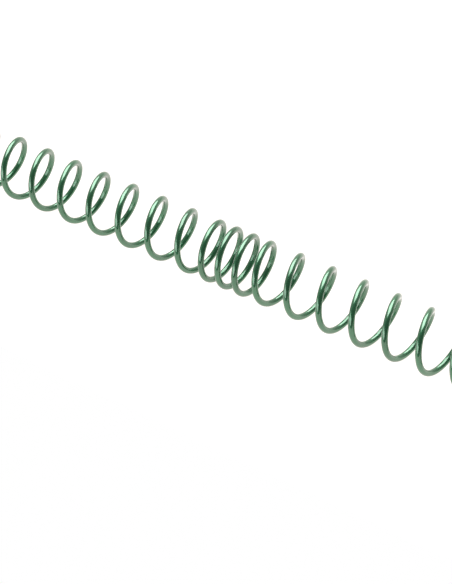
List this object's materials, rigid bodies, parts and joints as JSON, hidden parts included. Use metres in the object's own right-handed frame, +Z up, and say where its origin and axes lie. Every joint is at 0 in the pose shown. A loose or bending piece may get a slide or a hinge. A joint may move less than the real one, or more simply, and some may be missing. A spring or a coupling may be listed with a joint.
{
  "type": "coil spring",
  "caption": "Long open-wound helical compression spring of round green-coated wire, its coils drawn closer together over a short stretch in the middle, with flat-ground ends.",
  "frame": {"origin": "under the middle of the spring, on the surface that it lies on", "axes": "+X along the spring's axis, from the left end coil to the right end coil; +Z up from the surface that the spring lies on"},
  "size_m": [0.2234, 0.0178, 0.0178],
  "materials": {
    "coated_wire": "gloss"
  },
  "bodies": {
    "left_end": {"left_end_coil": "coated_wire", "left_lead_coil": "coated_wire"},
    "left_open_01": {"left_open_01": "coated_wire"},
    "left_open_02": {"left_open_02": "coated_wire"},
    "left_open_03": {"left_open_03": "coated_wire"},
    "left_open_04": {"left_open_04": "coated_wire"},
    "left_open_05": {"left_open_05": "coated_wire"},
    "left_open_06": {"left_open_06": "coated_wire"},
    "left_open_07": {"left_open_07": "coated_wire"},
    "left_open_08": {"left_open_08": "coated_wire"},
    "left_open_09": {"left_open_09": "coated_wire"},
    "left_open_10": {"left_open_10": "coated_wire"},
    "left_open_11": {"left_open_11": "coated_wire"},
    "left_open_12": {"left_open_12": "coated_wire"},
    "left_open_13": {"left_open_13": "coated_wire"},
    "left_open_14": {"left_open_14": "coated_wire"},
    "left_open_15": {"left_open_15": "coated_wire"},
    "left_open_16": {"left_open_16": "coated_wire"},
    "left_open_17": {"left_open_17": "coated_wire"},
    "left_open_18": {"left_open_18": "coated_wire"},
    "left_open_19": {"left_open_19": "coated_wire"},
    "left_open_20": {"left_open_20": "coated_wire"},
    "tight_01": {"tight_01": "coated_wire"},
    "tight_02": {"tight_02": "coated_wire"},
    "tight_03": {"tight_03": "coated_wire"},
    "tight_04": {"tight_04": "coated_wire"},
    "tight_05": {"tight_05": "coated_wire"},
    "tight_06": {"tight_06": "coated_wire"},
    "right_open_01": {"right_open_01": "coated_wire"},
    "right_open_02": {"right_open_02": "coated_wire"},
    "right_open_03": {"right_open_03": "coated_wire"},
    "right_open_04": {"right_open_04": "coated_wire"},
    "right_open_05": {"right_open_05": "coated_wire"},
    "right_open_06": {"right_open_06": "coated_wire"},
    "right_open_07": {"right_open_07": "coated_wire"},
    "right_open_08": {"right_open_08": "coated_wire"},
    "right_open_09": {"right_open_09": "coated_wire"},
    "right_open_10": {"right_open_10": "coated_wire"},
    "right_open_11": {"right_open_11": "coated_wire"},
    "right_open_12": {"right_open_12": "coated_wire"},
    "right_open_13": {"right_open_13": "coated_wire"},
    "right_open_14": {"right_open_14": "coated_wire"},
    "right_open_15": {"right_open_15": "coated_wire"},
    "right_open_16": {"right_open_16": "coated_wire"},
    "right_open_17": {"right_open_17": "coated_wire"},
    "right_open_18": {"right_open_18": "coated_wire"},
    "right_open_19": {"right_open_19": "coated_wire"},
    "right_open_20": {"right_open_20": "coated_wire"},
    "right_end": {"right_lead_coil": "coated_wire", "right_end_coil": "coated_wire"}
  },
  "joints": [
    {"name": "left_open_01_twist", "type": "hinge", "parent": "left_end", "child": "left_open_01", "pos_m": [-0.10793, 0.008, 0.0089], "axis": [0.1372, 0, 0.9905], "range_deg": [-6, 2.5], "stiffness_Nm_per_rad": 6.36},
    {"name": "left_open_02_twist", "type": "hinge", "parent": "left_open_01", "child": "left_open_02", "pos_m": [-0.10326, -0.008, 0.0089], "axis": [0.1866, 0, -0.9824], "range_deg": [-12, 5], "stiffness_Nm_per_rad": 3.18},
    {"name": "left_open_03_twist", "type": "hinge", "parent": "left_open_02", "child": "left_open_03", "pos_m": [-0.09822, 0.008, 0.0089], "axis": [0.1866, 0, 0.9824], "range_deg": [-12, 5], "stiffness_Nm_per_rad": 3.18},
    {"name": "left_open_04_twist", "type": "hinge", "parent": "left_open_03", "child": "left_open_04", "pos_m": [-0.09319, -0.008, 0.0089], "axis": [0.1866, 0, -0.9824], "range_deg": [-12, 5], "stiffness_Nm_per_rad": 3.18},
    {"name": "left_open_05_twist", "type": "hinge", "parent": "left_open_04", "child": "left_open_05", "pos_m": [-0.08815, 0.008, 0.0089], "axis": [0.1866, 0, 0.9824], "range_deg": [-12, 5], "stiffness_Nm_per_rad": 3.18},
    {"name": "left_open_06_twist", "type": "hinge", "parent": "left_open_05", "child": "left_open_06", "pos_m": [-0.08312, -0.008, 0.0089], "axis": [0.1866, 0, -0.9824], "range_deg": [-12, 5], "stiffness_Nm_per_rad": 3.18},
    {"name": "left_open_07_twist", "type": "hinge", "parent": "left_open_06", "child": "left_open_07", "pos_m": [-0.07808, 0.008, 0.0089], "axis": [0.1866, 0, 0.9824], "range_deg": [-12, 5], "stiffness_Nm_per_rad": 3.18},
    {"name": "left_open_08_twist", "type": "hinge", "parent": "left_open_07", "child": "left_open_08", "pos_m": [-0.07305, -0.008, 0.0089], "axis": [0.1866, 0, -0.9824], "range_deg": [-12, 5], "stiffness_Nm_per_rad": 3.18},
    {"name": "left_open_09_twist", "type": "hinge", "parent": "left_open_08", "child": "left_open_09", "pos_m": [-0.06801, 0.008, 0.0089], "axis": [0.1866, 0, 0.9824], "range_deg": [-12, 5], "stiffness_Nm_per_rad": 3.18},
    {"name": "left_open_10_twist", "type": "hinge", "parent": "left_open_09", "child": "left_open_10", "pos_m": [-0.06298, -0.008, 0.0089], "axis": [0.1866, 0, -0.9824], "range_deg": [-12, 5], "stiffness_Nm_per_rad": 3.18},
    {"name": "left_open_11_twist", "type": "hinge", "parent": "left_open_10", "child": "left_open_11", "pos_m": [-0.05794, 0.008, 0.0089], "axis": [0.1866, 0, 0.9824], "range_deg": [-12, 5], "stiffness_Nm_per_rad": 3.18},
    {"name": "left_open_12_twist", "type": "hinge", "parent": "left_open_11", "child": "left_open_12", "pos_m": [-0.05291, -0.008, 0.0089], "axis": [0.1866, 0, -0.9824], "range_deg": [-12, 5], "stiffness_Nm_per_rad": 3.18},
    {"name": "left_open_13_twist", "type": "hinge", "parent": "left_open_12", "child": "left_open_13", "pos_m": [-0.04787, 0.008, 0.0089], "axis": [0.1866, 0, 0.9824], "range_deg": [-12, 5], "stiffness_Nm_per_rad": 3.18},
    {"name": "left_open_14_twist", "type": "hinge", "parent": "left_open_13", "child": "left_open_14", "pos_m": [-0.04284, -0.008, 0.0089], "axis": [0.1866, 0, -0.9824], "range_deg": [-12, 5], "stiffness_Nm_per_rad": 3.18},
    {"name": "left_open_15_twist", "type": "hinge", "parent": "left_open_14", "child": "left_open_15", "pos_m": [-0.0378, 0.008, 0.0089], "axis": [0.1866, 0, 0.9824], "range_deg": [-12, 5], "stiffness_Nm_per_rad": 3.18},
    {"name": "left_open_16_twist", "type": "hinge", "parent": "left_open_15", "child": "left_open_16", "pos_m": [-0.03277, -0.008, 0.0089], "axis": [0.1866, 0, -0.9824], "range_deg": [-12, 5], "stiffness_Nm_per_rad": 3.18},
    {"name": "left_open_17_twist", "type": "hinge", "parent": "left_open_16", "child": "left_open_17", "pos_m": [-0.02773, 0.008, 0.0089], "axis": [0.1866, 0, 0.9824], "range_deg": [-12, 5], "stiffness_Nm_per_rad": 3.18},
    {"name": "left_open_18_twist", "type": "hinge", "parent": "left_open_17", "child": "left_open_18", "pos_m": [-0.0227, -0.008, 0.0089], "axis": [0.1866, 0, -0.9824], "range_deg": [-12, 5], "stiffness_Nm_per_rad": 3.18},
    {"name": "left_open_19_twist", "type": "hinge", "parent": "left_open_18", "child": "left_open_19", "pos_m": [-0.01766, 0.008, 0.0089], "axis": [0.1866, 0, 0.9824], "range_deg": [-12, 5], "stiffness_Nm_per_rad": 3.18},
    {"name": "left_open_20_twist", "type": "hinge", "parent": "left_open_19", "child": "left_open_20", "pos_m": [-0.01263, -0.008, 0.0089], "axis": [0.1866, 0, -0.9824], "range_deg": [-12, 5], "stiffness_Nm_per_rad": 3.18},
    {"name": "tight_01_twist", "type": "hinge", "parent": "left_open_20", "child": "tight_01", "pos_m": [-0.00799, 0.008, 0.0089], "axis": [0.1401, 0, 0.9901], "range_deg": [-12, 5], "stiffness_Nm_per_rad": 3.18},
    {"name": "tight_02_twist", "type": "hinge", "parent": "tight_01", "child": "tight_02", "pos_m": [-0.005, -0.008, 0.0089], "axis": [0.1024, 0, -0.9947], "range_deg": [-12, 5], "stiffness_Nm_per_rad": 3.18},
    {"name": "tight_03_twist", "type": "hinge", "parent": "tight_02", "child": "tight_03", "pos_m": [-0.00227, 0.008, 0.0089], "axis": [0.1024, 0, 0.9947], "range_deg": [-12, 5], "stiffness_Nm_per_rad": 3.18},
    {"name": "tight_04_twist", "type": "hinge", "parent": "tight_03", "child": "tight_04", "pos_m": [0.00046, -0.008, 0.0089], "axis": [0.1024, 0, -0.9947], "range_deg": [-12, 5], "stiffness_Nm_per_rad": 3.18},
    {"name": "tight_05_twist", "type": "hinge", "parent": "tight_04", "child": "tight_05", "pos_m": [0.00319, 0.008, 0.0089], "axis": [0.1024, 0, 0.9947], "range_deg": [-12, 5], "stiffness_Nm_per_rad": 3.18},
    {"name": "tight_06_twist", "type": "hinge", "parent": "tight_05", "child": "tight_06", "pos_m": [0.00592, -0.008, 0.0089], "axis": [0.1024, 0, -0.9947], "range_deg": [-12, 5], "stiffness_Nm_per_rad": 3.18},
    {"name": "right_open_01_twist", "type": "hinge", "parent": "tight_06", "child": "right_open_01", "pos_m": [0.00867, 0.008, 0.0089], "axis": [0.1086, 0, 0.9941], "range_deg": [-12, 5], "stiffness_Nm_per_rad": 3.18},
    {"name": "right_open_02_twist", "type": "hinge", "parent": "right_open_01", "child": "right_open_02", "pos_m": [0.01263, -0.008, 0.0089], "axis": [0.1845, 0, -0.9828], "range_deg": [-12, 5], "stiffness_Nm_per_rad": 3.18},
    {"name": "right_open_03_twist", "type": "hinge", "parent": "right_open_02", "child": "right_open_03", "pos_m": [0.01766, 0.008, 0.0089], "axis": [0.1866, 0, 0.9824], "range_deg": [-12, 5], "stiffness_Nm_per_rad": 3.18},
    {"name": "right_open_04_twist", "type": "hinge", "parent": "right_open_03", "child": "right_open_04", "pos_m": [0.0227, -0.008, 0.0089], "axis": [0.1866, 0, -0.9824], "range_deg": [-12, 5], "stiffness_Nm_per_rad": 3.18},
    {"name": "right_open_05_twist", "type": "hinge", "parent": "right_open_04", "child": "right_open_05", "pos_m": [0.02773, 0.008, 0.0089], "axis": [0.1866, 0, 0.9824], "range_deg": [-12, 5], "stiffness_Nm_per_rad": 3.18},
    {"name": "right_open_06_twist", "type": "hinge", "parent": "right_open_05", "child": "right_open_06", "pos_m": [0.03277, -0.008, 0.0089], "axis": [0.1866, 0, -0.9824], "range_deg": [-12, 5], "stiffness_Nm_per_rad": 3.18},
    {"name": "right_open_07_twist", "type": "hinge", "parent": "right_open_06", "child": "right_open_07", "pos_m": [0.0378, 0.008, 0.0089], "axis": [0.1866, 0, 0.9824], "range_deg": [-12, 5], "stiffness_Nm_per_rad": 3.18},
    {"name": "right_open_08_twist", "type": "hinge", "parent": "right_open_07", "child": "right_open_08", "pos_m": [0.04284, -0.008, 0.0089], "axis": [0.1866, 0, -0.9824], "range_deg": [-12, 5], "stiffness_Nm_per_rad": 3.18},
    {"name": "right_open_09_twist", "type": "hinge", "parent": "right_open_08", "child": "right_open_09", "pos_m": [0.04787, 0.008, 0.0089], "axis": [0.1866, 0, 0.9824], "range_deg": [-12, 5], "stiffness_Nm_per_rad": 3.18},
    {"name": "right_open_10_twist", "type": "hinge", "parent": "right_open_09", "child": "right_open_10", "pos_m": [0.05291, -0.008, 0.0089], "axis": [0.1866, 0, -0.9824], "range_deg": [-12, 5], "stiffness_Nm_per_rad": 3.18},
    {"name": "right_open_11_twist", "type": "hinge", "parent": "right_open_10", "child": "right_open_11", "pos_m": [0.05794, 0.008, 0.0089], "axis": [0.1866, 0, 0.9824], "range_deg": [-12, 5], "stiffness_Nm_per_rad": 3.18},
    {"name": "right_open_12_twist", "type": "hinge", "parent": "right_open_11", "child": "right_open_12", "pos_m": [0.06298, -0.008, 0.0089], "axis": [0.1866, 0, -0.9824], "range_deg": [-12, 5], "stiffness_Nm_per_rad": 3.18},
    {"name": "right_open_13_twist", "type": "hinge", "parent": "right_open_12", "child": "right_open_13", "pos_m": [0.06801, 0.008, 0.0089], "axis": [0.1866, 0, 0.9824], "range_deg": [-12, 5], "stiffness_Nm_per_rad": 3.18},
    {"name": "right_open_14_twist", "type": "hinge", "parent": "right_open_13", "child": "right_open_14", "pos_m": [0.07305, -0.008, 0.0089], "axis": [0.1866, 0, -0.9824], "range_deg": [-12, 5], "stiffness_Nm_per_rad": 3.18},
    {"name": "right_open_15_twist", "type": "hinge", "parent": "right_open_14", "child": "right_open_15", "pos_m": [0.07808, 0.008, 0.0089], "axis": [0.1866, 0, 0.9824], "range_deg": [-12, 5], "stiffness_Nm_per_rad": 3.18},
    {"name": "right_open_16_twist", "type": "hinge", "parent": "right_open_15", "child": "right_open_16", "pos_m": [0.08312, -0.008, 0.0089], "axis": [0.1866, 0, -0.9824], "range_deg": [-12, 5], "stiffness_Nm_per_rad": 3.18},
    {"name": "right_open_17_twist", "type": "hinge", "parent": "right_open_16", "child": "right_open_17", "pos_m": [0.08815, 0.008, 0.0089], "axis": [0.1866, 0, 0.9824], "range_deg": [-12, 5], "stiffness_Nm_per_rad": 3.18},
    {"name": "right_open_18_twist", "type": "hinge", "parent": "right_open_17", "child": "right_open_18", "pos_m": [0.09319, -0.008, 0.0089], "axis": [0.1866, 0, -0.9824], "range_deg": [-12, 5], "stiffness_Nm_per_rad": 3.18},
    {"name": "right_open_19_twist", "type": "hinge", "parent": "right_open_18", "child": "right_open_19", "pos_m": [0.09822, 0.008, 0.0089], "axis": [0.1866, 0, 0.9824], "range_deg": [-12, 5], "stiffness_Nm_per_rad": 3.18},
    {"name": "right_open_20_twist", "type": "hinge", "parent": "right_open_19", "child": "right_open_20", "pos_m": [0.10326, -0.008, 0.0089], "axis": [0.1866, 0, -0.9824], "range_deg": [-12, 5], "stiffness_Nm_per_rad": 3.18},
    {"name": "right_end_twist", "type": "hinge", "parent": "right_open_20", "child": "right_end", "pos_m": [0.10793, 0.008, 0.0089], "axis": [0.1372, 0, 0.9905], "range_deg": [-6, 2.5], "stiffness_Nm_per_rad": 6.36}
  ],
  "couplings": [
    {"joint": "left_open_01_twist", "follows": "left_open_02_twist", "ratio": 0.5},
    {"joint": "left_open_03_twist", "follows": "left_open_02_twist", "ratio": 1},
    {"joint": "left_open_04_twist", "follows": "left_open_02_twist", "ratio": 1},
    {"joint": "left_open_05_twist", "follows": "left_open_02_twist", "ratio": 1},
    {"joint": "left_open_06_twist", "follows": "left_open_02_twist", "ratio": 1},
    {"joint": "left_open_07_twist", "follows": "left_open_02_twist", "ratio": 1},
    {"joint": "left_open_08_twist", "follows": "left_open_02_twist", "ratio": 1},
    {"joint": "left_open_09_twist", "follows": "left_open_02_twist", "ratio": 1},
    {"joint": "left_open_10_twist", "follows": "left_open_02_twist", "ratio": 1},
    {"joint": "left_open_11_twist", "follows": "left_open_02_twist", "ratio": 1},
    {"joint": "left_open_12_twist", "follows": "left_open_02_twist", "ratio": 1},
    {"joint": "left_open_13_twist", "follows": "left_open_02_twist", "ratio": 1},
    {"joint": "left_open_14_twist", "follows": "left_open_02_twist", "ratio": 1},
    {"joint": "left_open_15_twist", "follows": "left_open_02_twist", "ratio": 1},
    {"joint": "left_open_16_twist", "follows": "left_open_02_twist", "ratio": 1},
    {"joint": "left_open_17_twist", "follows": "left_open_02_twist", "ratio": 1},
    {"joint": "left_open_18_twist", "follows": "left_open_02_twist", "ratio": 1},
    {"joint": "left_open_19_twist", "follows": "left_open_02_twist", "ratio": 1},
    {"joint": "left_open_20_twist", "follows": "left_open_02_twist", "ratio": 1},
    {"joint": "tight_01_twist", "follows": "left_open_02_twist", "ratio": 1},
    {"joint": "tight_02_twist", "follows": "left_open_02_twist", "ratio": 1},
    {"joint": "tight_03_twist", "follows": "left_open_02_twist", "ratio": 1},
    {"joint": "tight_04_twist", "follows": "left_open_02_twist", "ratio": 1},
    {"joint": "tight_05_twist", "follows": "left_open_02_twist", "ratio": 1},
    {"joint": "tight_06_twist", "follows": "left_open_02_twist", "ratio": 1},
    {"joint": "right_open_01_twist", "follows": "left_open_02_twist", "ratio": 1},
    {"joint": "right_open_02_twist", "follows": "left_open_02_twist", "ratio": 1},
    {"joint": "right_open_03_twist", "follows": "left_open_02_twist", "ratio": 1},
    {"joint": "right_open_04_twist", "follows": "left_open_02_twist", "ratio": 1},
    {"joint": "right_open_05_twist", "follows": "left_open_02_twist", "ratio": 1},
    {"joint": "right_open_06_twist", "follows": "left_open_02_twist", "ratio": 1},
    {"joint": "right_open_07_twist", "follows": "left_open_02_twist", "ratio": 1},
    {"joint": "right_open_08_twist", "follows": "left_open_02_twist", "ratio": 1},
    {"joint": "right_open_09_twist", "follows": "left_open_02_twist", "ratio": 1},
    {"joint": "right_open_10_twist", "follows": "left_open_02_twist", "ratio": 1},
    {"joint": "right_open_11_twist", "follows": "left_open_02_twist", "ratio": 1},
    {"joint": "right_open_12_twist", "follows": "left_open_02_twist", "ratio": 1},
    {"joint": "right_open_13_twist", "follows": "left_open_02_twist", "ratio": 1},
    {"joint": "right_open_14_twist", "follows": "left_open_02_twist", "ratio": 1},
    {"joint": "right_open_15_twist", "follows": "left_open_02_twist", "ratio": 1},
    {"joint": "right_open_16_twist", "follows": "left_open_02_twist", "ratio": 1},
    {"joint": "right_open_17_twist", "follows": "left_open_02_twist", "ratio": 1},
    {"joint": "right_open_18_twist", "follows": "left_open_02_twist", "ratio": 1},
    {"joint": "right_open_19_twist", "follows": "left_open_02_twist", "ratio": 1},
    {"joint": "right_open_20_twist", "follows": "left_open_02_twist", "ratio": 1},
    {"joint": "right_end_twist", "follows": "left_open_02_twist", "ratio": 0.5}
  ]
}
